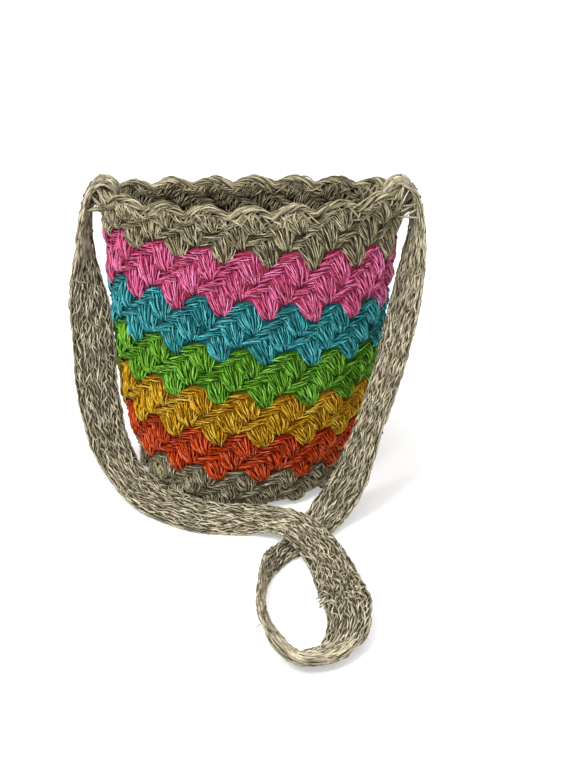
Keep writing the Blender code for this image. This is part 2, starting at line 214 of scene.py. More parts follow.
# %% [markdown]
# ## Strands
# A strand of yarn is a thin tube along a short curve. All strands of a piece have the same
# number of points, so one array holds them all and one function makes every tube together.
# Two attributes ride along: *tone* makes one strand a little paler than the next, and
# *shade* is painted shade, which darkens what lies deep between the stitches, where strands
# dip in and each strand's underside. The UV map runs round and along the strand, turned a
# little as it goes, so that the fibres look twisted.

# %% Tubes along many curves at once
rng = np.random.default_rng(7)
TWIST_LENGTH = 14 * MM          # yarn length in which the fibres turn once
THICK_SIDES, FINE_SIDES = 4, 3  # sides of a tube
FLANK_SHADE = 0.55              # painted shade: how much darker a strand's underside is than its top
ROUND_ENDS = (0.55, 0.93)       # first two rings of a strand, as shares of its radius


class Yarn:
    """Collects the vertices, faces and attributes of one piece."""

    def __init__(self):
        self.points, self.loops, self.counts = [], [], []
        self.tones, self.shades, self.uvs = [], [], []
        self.total = 0

    def add(self, points, faces, tone, shade, uv):
        """points (n, 3), faces a list of index arrays (faces, corners), uv for each point."""
        self.points.append(points)
        self.tones.append(np.broadcast_to(tone, len(points)))
        self.shades.append(np.broadcast_to(shade, len(points)))
        self.uvs.append(uv)
        for block in faces:
            self.loops.append((block + self.total).ravel())
            self.counts.append(np.full(len(block), block.shape[1]))
        self.total += len(points)

    def rest_on_floor(self):
        """Flattens what would reach below the floor."""
        for points in self.points:
            points[:, 2] = np.maximum(points[:, 2], 0.0)

    def build(self, name, node, material):
        """Makes the mesh object, which stands for the construction node."""
        points = np.concatenate(self.points)
        loops = np.concatenate(self.loops)
        counts = np.concatenate(self.counts)
        mesh = bpy.data.meshes.new(name)
        mesh.vertices.add(len(points))
        mesh.vertices.foreach_set("co", points.astype(np.float32).ravel())
        mesh.loops.add(len(loops))
        mesh.loops.foreach_set("vertex_index", loops.astype(np.int32))
        mesh.polygons.add(len(counts))
        starts = np.concatenate([[0], np.cumsum(counts)[:-1]])
        mesh.polygons.foreach_set("loop_start", starts.astype(np.int32))
        mesh.update(calc_edges=True)
        for label, values in (("tone", self.tones), ("shade", self.shades)):
            attribute = mesh.attributes.new(label, "FLOAT", "POINT")
            attribute.data.foreach_set("value", np.concatenate(values).astype(np.float32))
        layer = mesh.uv_layers.new(name="fibres")
        layer.data.foreach_set("uv", np.concatenate(self.uvs)[loops].astype(np.float32).ravel())
        mesh.shade_smooth()
        mesh.materials.append(material)
        obj = put(name, mesh)
        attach(obj, "root")
        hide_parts(node)
        print(name, len(points), "points,", int((counts - 2).sum()), "triangles")


def grid_faces(rows, columns, wrapped=False):
    """Quads of a grid whose last column joins its first; wrapped joins the rows in the same way."""
    r = np.arange(rows if wrapped else rows - 1)[:, None]
    c = np.arange(columns)[None, :]
    here, ahead = r * columns, (r + 1) % rows * columns
    n = (c + 1) % columns
    return np.stack([here + c, here + n, ahead + n, ahead + c], -1).reshape(-1, 4)


def tube_faces(rows, columns):
    """Quads between the rings of a tube and a cap on each end."""
    ring = np.arange(columns)[None]
    return [grid_faces(rows, columns), ring[:, ::-1], (rows - 1) * columns + ring]


def add_surface(yarn, points, faces, shade, across, along):
    """Adds a grid of points (row, column, xyz); its UV values are across by along."""
    uv = np.stack(np.broadcast_arrays(across, along[:, None]), -1)
    yarn.add(points.reshape(-1, 3), faces, 0.0, shade, uv.reshape(-1, 2))


def unit(vectors):
    """Vectors of length one."""
    return vectors / np.maximum(np.linalg.norm(vectors, axis=-1, keepdims=True), 1e-9)


def add_strands(yarn, paths, facing, radius, sides, shade, tone=None):
    """Adds round tubes along paths (strand, point, xyz), of random tones if none are given.

    Each ring is path + radius (cos a · side + sin a · up), where up is the facing direction
    made square to the path and side is square to both. The ends are drawn in and closed.
    """
    strands, count = paths.shape[:2]
    tone = rng.uniform(-1, 1, strands) if tone is None else tone
    along = unit(np.gradient(paths, axis=1))
    up = unit(facing - along * np.sum(facing * along, axis=-1, keepdims=True))
    side = np.cross(along, up)
    taper = np.ones(count)
    taper[0] = taper[-1] = ROUND_ENDS[0]
    taper[1] = taper[-2] = ROUND_ENDS[1]
    size = np.broadcast_to(radius, paths.shape[:2]) * taper
    turn = 2 * np.pi * (np.arange(sides) / sides + 0.25)
    ring = np.cos(turn)[:, None] * side[:, :, None] + np.sin(turn)[:, None] * up[:, :, None]
    points = paths[:, :, None] + size[:, :, None, None] * ring
    seat = (np.arange(strands) * count * sides)[:, None, None]
    faces = [(seat + block).reshape(-1, block.shape[1]) for block in tube_faces(count, sides)]
    steps = np.linalg.norm(np.diff(paths, axis=1), axis=-1)
    length = np.pad(np.cumsum(steps, axis=1), ((0, 0), (1, 0)))
    round_share = np.broadcast_to(np.arange(sides) / sides, points.shape[:3])
    run = np.broadcast_to(length[:, :, None], points.shape[:3])
    own = np.arange(strands)[:, None, None] * 0.37
    uv = np.stack([round_share + run / TWIST_LENGTH, run / TWIST_LENGTH + own], -1)
    tone = np.broadcast_to(np.asarray(tone, float).reshape(-1, 1, 1), points.shape[:3])
    # painted shade: each ring is darker on its underside, by FLANK_SHADE
    shade = np.asarray(shade, float)[..., None] + FLANK_SHADE * (1 - np.sin(turn)) / 2
    shade = np.broadcast_to(np.minimum(shade, 1), points.shape[:3])
    yarn.add(points.reshape(-1, 3), faces, tone.ravel(), shade.ravel(), uv.reshape(-1, 2))


def bend(start, middle, end, t):
    """Points at t of curves pulled to middle: (1-t)² start + 2t(1-t) middle + t² end."""
    t = t[..., None]
    start, middle, end = (np.asarray(a)[..., None, :] for a in (start, middle, end))
    return (1 - t) ** 2 * start + 2 * t * (1 - t) * middle + t * t * end


# %% [markdown]
# ## Fique yarn
# Fique is a coarse, matt leaf fibre. A dyed yarn isn't one colour: fibres run along it in
# paler and darker streaks, and each strand took the dye a little differently. The hollows
# between stitches get painted shade: the shade attribute mixes the colour towards a darker
# one of the same hue. The streaks come from noise stretched along the UV map, and the same
# noise lifts the surface, so light catches single fibres.

# %% Yarn material
PAINTED_SHADE_GAIN = 0.27                # painted shade in the hollows: the colour raised to a power keeps its hue
PLAIN_PAINTED_SHADE_GAIN = 0.14          # the same in undyed yarn
PAINTED_SHADE_POWER = 1.5
TONE_STOPS = (                  # place on the ramp, gain of the colour, white that is added
    (0.12, 0.3, 0.0),
    (0.5, 1.06, 0.0),
    (0.88, 1.75, 0.13),
)
FIBRE_SHARE, STRAND_SHARE, PATCH_SHARE = 0.75, 0.33, 0.3


def math_node(tree, operation, first, second, third=None):
    """A Math node fed with sockets or numbers; gives its output."""
    node = tree.nodes.new("ShaderNodeMath")
    node.operation = operation
    for slot_index, value in enumerate((first, second, third)):
        if hasattr(value, "links"):
            tree.links.new(value, node.inputs[slot_index])
        elif value is not None:
            node.inputs[slot_index].default_value = value
    return node.outputs[0]


def noise_node(tree, vector, scale, detail):
    """A Noise Texture node on a vector socket."""
    node = tree.nodes.new("ShaderNodeTexNoise")
    node.inputs["Scale"].default_value = scale
    node.inputs["Detail"].default_value = detail
    tree.links.new(vector, node.inputs["Vector"])
    return node


def attribute_node(tree, name):
    """The value of a vertex attribute."""
    node = tree.nodes.new("ShaderNodeAttribute")
    node.attribute_name = name
    return node.outputs["Fac"]


def fique(name, colour, painted_shade_gain):
    """Matt fibre yarn: streak noise along the UV, tone, painted shade from the shade attribute, fibre
    bump.
    """
    material = bpy.data.materials.new(name)
    material.use_nodes = True
    tree = material.node_tree
    nodes, links = tree.nodes, tree.links
    shader = nodes["Principled BSDF"]
    shader.inputs["Roughness"].default_value = 0.72
    shader.inputs["Specular IOR Level"].default_value = 0.1
    shader.inputs["Sheen Weight"].default_value = 0.02
    shader.inputs["Sheen Roughness"].default_value = 0.5
    shader.inputs["Base Color"].default_value = (*colour, 1)

    uv = nodes.new("ShaderNodeUVMap")
    uv.uv_map = "fibres"
    stretch = nodes.new("ShaderNodeMapping")
    stretch.inputs["Scale"].default_value = (5.0, 1.6, 1.0)
    links.new(uv.outputs["UV"], stretch.inputs["Vector"])
    fibres = noise_node(tree, stretch.outputs["Vector"], 2.2, 3.0)
    fibres.inputs["Roughness"].default_value = 0.6
    place = nodes.new("ShaderNodeTexCoord")
    patches = noise_node(tree, place.outputs["Object"], 38.0, 2.0)

    value = math_node(tree, "MULTIPLY_ADD", fibres.outputs["Fac"], FIBRE_SHARE, 0.12)
    value = math_node(tree, "MULTIPLY_ADD", attribute_node(tree, "tone"), STRAND_SHARE, value)
    value = math_node(tree, "SUBTRACT", value, PATCH_SHARE / 2)
    value = math_node(tree, "MULTIPLY_ADD", patches.outputs["Fac"], PATCH_SHARE, value)
    ramp = nodes.new("ShaderNodeValToRGB")
    ramp.color_ramp.elements.new(0.5)
    for element, (position, gain, pale) in zip(ramp.color_ramp.elements, TONE_STOPS):
        element.position = position
        element.color = (*(min(1.0, c * gain + pale) for c in colour), 1)
    links.new(value, ramp.inputs["Fac"])
    # painted shade: the shade attribute mixes the ramp's colour towards a darker one of the same hue
    deep = nodes.new("ShaderNodeMix")
    deep.data_type = "RGBA"
    links.new(attribute_node(tree, "shade"), deep.inputs["Factor"])
    surface, painted_shade_colour = [s for s in deep.inputs if s.type == "RGBA"]
    links.new(ramp.outputs["Color"], surface)
    painted_shade_colour.default_value = (*(painted_shade_gain * c ** PAINTED_SHADE_POWER for c in colour), 1)
    links.new([s for s in deep.outputs if s.type == "RGBA"][0], shader.inputs["Base Color"])

    bump = nodes.new("ShaderNodeBump")
    bump.inputs["Strength"].default_value = 0.55
    bump.inputs["Distance"].default_value = 0.5 * MM
    links.new(fibres.outputs["Fac"], bump.inputs["Height"])
    links.new(bump.outputs["Normal"], shader.inputs["Normal"])
    return material


YARNS = {
    "natural": (0.43, 0.37, 0.225),
    "strap": (0.52, 0.45, 0.305),
    "orange": (0.78, 0.085, 0.004),
    "yellow": (0.80, 0.42, 0.005),
    "green": (0.17, 0.46, 0.02),
    "teal": (0.055, 0.42, 0.45),
    "pink": (1.0, 0.17, 0.36),
}
UNDYED = ("natural", "strap")
MATERIALS = {}
for name, colour in YARNS.items():
    painted_shade_gain = PLAIN_PAINTED_SHADE_GAIN if name in UNDYED else PAINTED_SHADE_GAIN
    MATERIALS[name] = fique("fique_" + name, colour, painted_shade_gain)
print(len(MATERIALS), "yarns")

# %% [markdown]
# ## One shell stitch
# A shell is five or six tall stitches worked into one spot, so its strands fan out from a
# plump foot, bulge and tuck in behind the next row's feet. The yarn is hairy and loosely
# spun, so what shows is many short strands that dip in and out. Each is drawn as a piece of
# one of the fan's curves, and the pieces lie in tiers, one above another. The shells lie on
# their side: their strands lean over to the upper left, where the short strands of a chain
# cross them on its way to the next shell. The places are in columns and rows from the foot,
# so that one fan serves the whole bag.

# %% Curves of one shell
FAN = np.array((                # place in the fan; start, bend and end as column, row
    (0.0, -0.32, 0.06, -0.72, 0.30, -1.18, 1.14),
    (0.2, -0.22, 0.00, -0.62, 0.52, -1.42, 1.42),
    (0.4, -0.10, -0.04, -0.36, 0.80, -1.16, 1.78),
    (0.6, 0.02, -0.04, -0.08, 1.00, -0.58, 2.00),
    (0.8, 0.13, -0.02, 0.26, 0.88, 0.00, 1.95),
    (1.0, 0.22, 0.06, 0.46, 0.66, 0.62, 1.48),
))
CHAIN = np.array((              # the strands that cross the fan's upper left
    (-2.20, 0.66, -1.55, 0.96, -0.95, 0.90),
    (-2.12, 0.90, -1.45, 1.22, -0.82, 1.14),
    (-2.04, 1.10, -1.30, 1.46, -0.62, 1.40),
    (-1.84, 1.32, -1.05, 1.72, -0.30, 1.70),
    (-1.60, 1.54, -0.75, 1.96, 0.14, 1.92),
))
FAN_LIFT = np.array(((0, 0.8), (0.14, 3.3), (0.42, 5.6), (0.7, 4.0), (1, -0.6)))
CHAIN_LIFT = np.array(((0, 1.4), (0.5, 3.6), (1, 1.6)))
EDGE_FALL = 2.1                 # how far the fan's outer strands lie behind its middle, in mm
FAN_UNEVEN = 0.07               # spread of the strands' places, in columns and rows
SHELL_UNEVEN = 0.09             # spread of whole fans' lean
LIFT_UNEVEN = 0.55              # spread of the lifts, in mm
INSIDE_LIFT = 0.55              # how high the shells stand inside, as a share of outside
FAN_TIERS, CHAIN_TIERS = 3, 2
STRAND_POINTS = 4
END_DIP = 1.0                   # how far a strand's two ends dip in, in mm
TOWARDS_ENDS = np.abs(np.linspace(-1, 1, STRAND_POINTS)) ** 3


def spans(shape, tiers):
    """Even steps along a part of each curve: its tier, and a random bit more at both ends.

    The strands of one fan take turns, so every tier of the fan has its share of them.
    """
    tier = (np.arange(shape[1]) % tiers)[:, None]
    first = np.clip((tier - rng.uniform(0, 0.4, (*shape, 1))) / tiers, 0, 1)
    last = np.clip((tier + 1 + rng.uniform(0, 0.5, (*shape, 1))) / tiers, 0, 1)
    return first + (last - first) * np.linspace(0, 1, STRAND_POINTS)


def waver(shape):
    """Small waves of each strand's own: half a sine and a whole sine, of random heights."""
    t = np.linspace(0, 1, STRAND_POINTS)[:, None]
    half = rng.normal(0, 0.5 * FAN_UNEVEN, (*shape, 1, 2)) * np.sin(np.pi * t)
    return half + rng.normal(0, 0.25 * FAN_UNEVEN, (*shape, 1, 2)) * np.sin(2 * np.pi * t)


def shell_strands(feet, strands):
    """Column and row, lift in mm and shade of every strand of the shells that stand on feet.

    The fan's table is read at places from left to right, each strand is a piece of a bent
    curve and wavers, and its lift is read from a profile along the curve, less a fall
    towards both sides of the fan. Every fan leans and every strand strays a little.
    """
    shape = (len(feet), strands)
    q = np.clip(np.linspace(0, 1, strands) + rng.normal(0, 0.6 / strands, shape), 0, 1)
    table = np.stack([np.interp(q, FAN[:, 0], FAN[:, k]) for k in range(1, 7)], -1)
    table = table + rng.normal(0, FAN_UNEVEN, table.shape)
    lean = rng.normal(0, SHELL_UNEVEN, (len(feet), 1, 2))
    t = spans(shape, FAN_TIERS)
    curves = bend(table[..., 0:2], table[..., 2:4] + 0.6 * lean, table[..., 4:6] + lean, t)
    curves = curves + waver(shape)
    lift = np.interp(t, FAN_LIFT[:, 0], FAN_LIFT[:, 1]) - EDGE_FALL * (2 * q[..., None] - 1) ** 2
    lift = lift + rng.normal(0, LIFT_UNEVEN, (*shape, 1)) - END_DIP * TOWARDS_ENDS
    # painted shade near the foot and where the strands tuck in at the end
    shade = 0.3 * np.clip(1 - t / 0.2, 0, 1) + 0.4 * np.clip((t - 0.75) / 0.25, 0, 1)
    return curves + feet[:, None, None], lift, shade


def chain_strands(feet, strands, lowest):
    """The same for the short strands across each shell's upper left.

    lowest is the first curve of the chain's table that is used: where a new colour starts,
    the lowest strands would lie on the band below.
    """
    shape = (len(feet), strands)
    q = np.linspace(lowest, len(CHAIN) - 1, strands)
    table = np.stack([np.interp(q, np.arange(len(CHAIN)), CHAIN[:, k]) for k in range(6)], -1)
    table = table + rng.normal(0, 1.3 * FAN_UNEVEN, (*shape, 6))
    t = spans(shape, CHAIN_TIERS)
    curves = bend(table[..., 0:2], table[..., 2:4], table[..., 4:6], t)
    curves = curves + waver(shape)
    lift = np.interp(t, CHAIN_LIFT[:, 0], CHAIN_LIFT[:, 1])
    lift = lift + rng.normal(0, LIFT_UNEVEN, (*shape, 1)) - END_DIP * TOWARDS_ENDS
    # painted shade: the chain strands take 0.2 of the shade colour all along
    return curves + feet[:, None, None], lift, 0.2 * np.ones_like(t)


def lay_on_wall(yarn, curves, lift, shade, inside):
    """Lays strands on the wall's outside, or mirrored through it on its inside."""
    values = (curves[..., 0], curves[..., 1], lift, shade)
    column, row, lift, shade = (a.reshape(-1, STRAND_POINTS) for a in values)
    outward = -WALL - INSIDE_LIFT * lift * MM if inside else lift * MM
    paths = on_wall(column, row, outward)
    away = on_wall(column, row, outward + 2 * MM) - paths
    tone = rng.uniform(-1, 1, len(paths))
    # painted shade at both ends where the strands dip in, plus a random amount that differs from
    # strand to strand
    shade = shade + 0.25 * TOWARDS_ENDS + 0.4 * rng.uniform(0, 1, (len(paths), 1)) ** 2
    size = STRAND_RADIUS * rng.uniform(0.78, 1.22, (len(paths), 1))
    add_strands(yarn, paths, unit(away) * (-1 if inside else 1), size, FINE_SIDES, shade, tone)


print("a shell's fan is read from", len(FAN), "curves and its chain from", len(CHAIN))

# %% [markdown]
# ## The bands of colour
# Under the strands each yarn has a softly puffed bed, the tangle of yarn that shows through
# the slits and closes the wall. Its dark colour is painted shade. It is one surface: up the
# outside, over its upper edge, down the inside and back. Its edges run in the same zigzag as
# the shells' feet.

# %% Beds, shells and bands
STRAND_RADIUS = 0.82 * MM
FINE = (44, 15)                 # strands of a fan and of a chain, outside
PLAIN = (15, 6)                 # the same where the shells are seen only deep inside
BED_STEPS = 4                   # bed points in one column and in one row
BED_PUFF = 3.8 * MM
BED_DEPTH = 1.7 * MM
BED_INSET = 0.8 * MM            # how far the bed's inner face lies inside the wall
BED_COLUMNS = np.arange(COLUMNS * BED_STEPS) / BED_STEPS


def bed_lower_edge(column, first_row):
    """The row at which a yarn starts: lowest at a shell's foot, one row higher between."""
    from_foot = np.mod(column - first_row, COLUMNS_PER_SHELL)
    return first_row + np.clip(np.minimum(from_foot, COLUMNS_PER_SHELL - from_foot), 0, 1)


def belly(column, row):
    """Puff of the shells: |sin · sin| of the two slanting directions of the lattice."""
    along_right = np.sin(np.pi * (column + 2 * row) / COLUMNS_PER_SHELL)
    along_left = np.sin(np.pi * (row - column) / COLUMNS_PER_SHELL)
    return np.sqrt(np.abs(along_right * along_left))


def add_bed(yarn, first_row, rows, top):
    """Closed ring of fabric between two zigzag edges, worked as one grid round its section."""
    column = BED_COLUMNS
    low = bed_lower_edge(column, first_row)
    high = np.full_like(column, LAST_ROW) if top else bed_lower_edge(column, first_row + rows)
    t = np.linspace(0, 1, rows * BED_STEPS + 1)[:, None]
    row = low + (high - low) * t
    outer = on_wall(column, row, BED_PUFF * belly(column, row) - BED_DEPTH)
    inner = on_wall(column, row[::-1], BED_INSET - WALL)
    points = np.concatenate([outer, inner])
    faces = [grid_faces(len(points), len(column), True)]
    # painted shade: the bed takes nearly the whole shade colour, so the slits look dark
    add_surface(yarn, points, faces, 0.95, column / 2, np.linspace(0, 12, len(points)))


def add_shell_rows(yarn, first_row, rows, fine_inside):
    """Shells of some rows, outside and inside."""
    for row in range(first_row, first_row + rows):
        column = np.arange(SHELLS) * COLUMNS_PER_SHELL + row % COLUMNS_PER_SHELL
        feet = np.stack([column, np.full(SHELLS, row)], -1).astype(float)
        squeeze = min(1.0, (LAST_ROW + 0.25 - row) / 2)
        for inside in (False, True)[:1 if row < FIRST_ROW else 2]:
            fans, chains = PLAIN if inside and not fine_inside else FINE
            chain = chain_strands(feet, chains, 2 if row == first_row else 0)
            for curves, lift, shade in (shell_strands(feet, fans), chain):
                curves[..., 1] = row + (curves[..., 1] - row) * squeeze
                lay_on_wall(yarn, curves, lift, shade, inside)


BAND_YARNS = ("orange", "yellow", "green", "teal", "pink", "natural")
for index, (node, rise, slant) in enumerate(BANDS):
    band = Yarn()
    top = index == len(BANDS) - 1
    add_bed(band, index * ROWS_PER_BAND, ROWS_PER_BAND, top)
    add_shell_rows(band, index * ROWS_PER_BAND, ROWS_PER_BAND, top)
    colour = BAND_YARNS[index]
    band.build(node.replace("_rows", "_shells"), node, MATERIALS[colour])

# %% [markdown]
# ## Base and lower rows
# The bag starts as a flat disc, crocheted round and round from its middle. Its stitches lie
# in rings of small V shapes on both faces, then the work turns up over a rounded edge and two
# rows of shells in the natural yarn follow; one more row of them goes on down round the edge.
# The bed is one turned profile: out along the underside, round the edge, up the wall, over
# the zigzag and back down the inside.

# %% Base
ROUND_PITCH = 6.5 * MM
BASE_RADIUS = SECTIONS[0, 1]
FLAT_RADIUS = BASE_RADIUS - BASE_EDGE_RADIUS
BED_FOOT = 1.0 * MM             # height of the bed's underside over the floor
ROUND_STRAND = 1.15 * MM
EDGE_STRAND = 1.1 * MM
EDGE_STRANDS = 5                # strands that pass round the edge in one column
EDGE_RISE = 9.0 * MM            # how far they reach up behind the first shells


def round_angle(column):
    """Angle round the base at a column: equal shares of the round, from the front."""
    return 2 * np.pi * (FIRST_SHELL_SHIFT + column / COLUMNS) - np.pi / 2


def on_disc(radius, angle, height):
    """Points of the base from radius, angle and height."""
    radius, angle, height = np.broadcast_arrays(radius, angle, height)
    return np.stack([radius * np.cos(angle), radius * np.sin(angle), height], -1)


def add_base_bed(yarn):
    """The base's solid body, turned from a profile of rings."""
    column = BED_COLUMNS
    angle = round_angle(column)
    rings = [on_disc(r, angle, BED_FOOT) for r in np.linspace(1 * MM, FLAT_RADIUS, 12)]
    bend_radius = BASE_EDGE_RADIUS - BED_FOOT
    for turn in np.linspace(0, np.pi / 2, 5)[1:]:
        radius = FLAT_RADIUS + bend_radius * math.sin(turn)
        rings.append(on_disc(radius, angle, BED_FOOT + bend_radius * (1 - math.cos(turn))))
    high = bed_lower_edge(column, 0)
    for t in np.linspace(0, 1, 2 * BED_STEPS + 1):
        row = FIRST_ROW + (high - FIRST_ROW) * t
        rings.append(on_wall(column, row, BED_PUFF * belly(column, row) - BED_DEPTH))
    for t in (1, 0.5, 0.1):
        rings.append(on_wall(column, FIRST_ROW + (high - FIRST_ROW) * t, BED_INSET - WALL))
    for r in np.linspace(BASE_RADIUS - WALL, 1 * MM, 8):
        rings.append(on_disc(r, angle, BASE_THICKNESS - BED_INSET))
    faces = tube_faces(len(rings), len(column))
    # painted shade: the base's bed is darkened to 0.8 of the shade colour
    add_surface(yarn, np.stack(rings), faces, 0.8, column / 2, np.linspace(0, 20, len(rings)))


def add_rounds(yarn, height, facing):
    """Rings of V stitches: two legs run from both sides of the ring to its middle, ahead."""
    for radius in np.arange(0.5, FLAT_RADIUS / ROUND_PITCH, 1.0) * ROUND_PITCH:
        stitches = max(5, round(2 * math.pi * radius / (7.0 * MM)))
        step = 2 * math.pi / stitches
        start = step * np.arange(stitches) + rng.uniform(0, step)
        for side in (-1, 1):
            t = np.linspace(0, 1, 5)[:, None]
            reach = radius + side * ROUND_PITCH * (0.44 - 0.36 * t)
            angle = start + step * (1.25 * t - 0.1)
            rise = height + facing * 0.9 * MM * np.sin(np.pi * t)
            paths = on_disc(reach, angle, rise).transpose(1, 0, 2)
            # painted shade at both ends of each leg
            shade = np.broadcast_to(0.35 * np.abs(2 * t[:, 0] - 1), paths.shape[:2])
            up = np.broadcast_to((0, 0, float(facing)), paths.shape)
            add_strands(yarn, paths, up, ROUND_STRAND, THICK_SIDES, shade)


def add_edge(yarn):
    """Strands that come from under the base, round its edge and up to the first feet."""
    count = COLUMNS * EDGE_STRANDS
    column = np.arange(count) / EDGE_STRANDS + rng.normal(0, 0.03, count)
    t = np.linspace(0, 1, 8)[:, None]
    turn = np.clip(t * 1.35, 0, 1) * np.pi / 2
    above = np.clip((t - 0.74) / 0.26, 0, 1)
    radius = FLAT_RADIUS - 2 * MM + (BASE_EDGE_RADIUS + 3 * MM) * np.sin(turn) + 3 * MM * above
    height = 1.2 * MM + BASE_EDGE_RADIUS * (1 - np.cos(turn)) + EDGE_RISE * above
    angle = round_angle(column + 0.5 * t + 0.2 * np.sin(5 * t + column))
    paths = on_disc(radius, angle, height).transpose(1, 0, 2)
    away = on_disc(np.sin(turn), angle, -np.cos(turn)).transpose(1, 0, 2)
    # painted shade at both ends, plus a random amount on each strand
    shade = 0.25 * np.abs(2 * t[:, 0] - 1) + 0.4 * rng.uniform(0, 1, (count, 1)) ** 2
    add_strands(yarn, paths, away, EDGE_STRAND, THICK_SIDES, shade)


base = Yarn()
add_base_bed(base)
add_rounds(base, 1.2 * MM, -1)
add_rounds(base, BASE_THICKNESS, 1)
add_edge(base)
add_shell_rows(base, FIRST_ROW - 1, LOWER_ROWS + 1, False)
base.rest_on_floor()
base.build("natural_lower_shells", "natural_base", MATERIALS["natural"])

# %% [markdown]
# ## Finished rim
# A chain of slip stitches finishes the mouth. Seen from above, each link is a V whose two
# legs meet in the middle of the edge and point along it, so a row of them reads as a braid.
# The links sit on a rolled core, and both follow the scallops of the last shells.

# %% Rim
EDGING_HEIGHT = 6.5 * MM
EDGING_THICKNESS = 9.0 * MM
LINKS = 2 * COLUMNS
LINK_STRANDS = 3
LINK_STRAND = 0.95 * MM
STRAYS = 260
STRAY_STRAND = 0.85 * MM


def on_rim(column, across, up):
    """Points over the rim: across runs from the inside (-1) to the outside (1)."""
    column, across, up = np.broadcast_arrays(column, across, up)
    middle = -(WALL + 1.5 * MM) / 2
    points = on_wall(column, LAST_ROW, middle + across * EDGING_THICKNESS / 2)
    points[..., 2] += up
    return points


def add_rim_core(yarn):
    """Rolled core: an ellipse carried round the mouth."""
    column = BED_COLUMNS
    turn = 2 * np.pi * np.arange(8) / 8
    across = 0.62 * np.cos(turn)[:, None]
    up = EDGING_HEIGHT * (0.40 + 0.38 * np.sin(turn))[:, None]
    points = on_rim(column, across, up)
    faces = [grid_faces(len(points), len(column), True)[:, ::-1]]
    # painted shade: the core under the links is darkened to 0.9 of the shade colour
    add_surface(yarn, points, faces, 0.9, column / 2, np.linspace(0, 1, len(points)))


def add_links(yarn):
    """Legs of the chain: from low on either side, up and ahead to the middle of the edge."""
    start = np.arange(LINKS) * COLUMNS / LINKS
    t = np.linspace(0, 1, 7)[:, None]
    for side in (-1, 1):
        for lane in range(LINK_STRANDS):
            stray = rng.normal(0, 1, (4, LINKS))
            reach = (1.45 * t - 0.3 + 0.1 * lane) * (1 + 0.25 * stray[1])
            column = start + 0.14 * stray[0] + reach
            across = side * (1.04 - 0.9 * t ** 1.4 - 0.14 * lane * (1 - t))
            across = across + 0.24 * stray[2] * np.sin(np.pi * t)
            rise = 0.08 + 0.14 * lane * (1 - t) + 0.86 * np.sin(0.5 * np.pi * t) ** 0.8
            up = EDGING_HEIGHT * rise + 1.1 * MM * stray[3] * np.sin(np.pi * t)
            paths = on_rim(column, across, up).transpose(1, 0, 2)
            core = on_rim(column, 0 * across, 0.4 * EDGING_HEIGHT + 0 * up).transpose(1, 0, 2)
            # painted shade, deepest at both ends of each leg, plus a random amount on each strand
            shade = np.interp(t[:, 0], (0, 0.3, 0.7, 1), (0.45, 0.1, 0.1, 0.5))
            shade = shade + 0.35 * rng.uniform(0, 1, (LINKS, 1)) ** 2
            size = LINK_STRAND * rng.uniform(0.75, 1.25, (LINKS, 1))
            add_strands(yarn, paths, unit(paths - core), size, THICK_SIDES, shade)


def add_strays(yarn, side):
    """Loose strands from the edge down over the last shells, leaning either way."""
    column = rng.uniform(0, COLUMNS, STRAYS)[:, None]
    t = np.linspace(0, 1, 5)
    lean = rng.normal(0.1, 0.7, (STRAYS, 1))
    drop = rng.uniform(0.25, 0.75, (STRAYS, 1)) * t ** 1.2
    arch = 1.0 + 2.2 * np.sin(np.pi * np.clip(1.1 * t, 0, 1))
    lift = (arch + rng.normal(0, 0.4, (STRAYS, 1))) * MM
    bow = rng.normal(0, 0.12, (STRAYS, 1)) * np.sin(np.pi * t)
    outward = lift if side > 0 else -WALL - 1.0 * MM - 0.6 * lift
    place = (column + lean * t + bow, LAST_ROW - drop)
    paths = on_wall(*place, outward)
    paths[..., 2] += 0.45 * EDGING_HEIGHT * (1 - t) ** 2
    away = (on_wall(*place, outward + 2 * MM) - paths) * side
    # painted shade towards both ends, plus a random amount on each strand
    shade = 0.45 * np.abs(2 * t - 1) ** 2 + 0.3 * rng.uniform(0, 1, (STRAYS, 1)) ** 2
    size = STRAY_STRAND * rng.uniform(0.8, 1.2, (STRAYS, 1))
    add_strands(yarn, paths, unit(away), size, THICK_SIDES, shade)


rim = Yarn()
add_rim_core(rim)
add_links(rim)
add_strays(rim, 1)
add_strays(rim, -1)
rim.build("rim_chain", "rim_edging", MATERIALS["natural"])
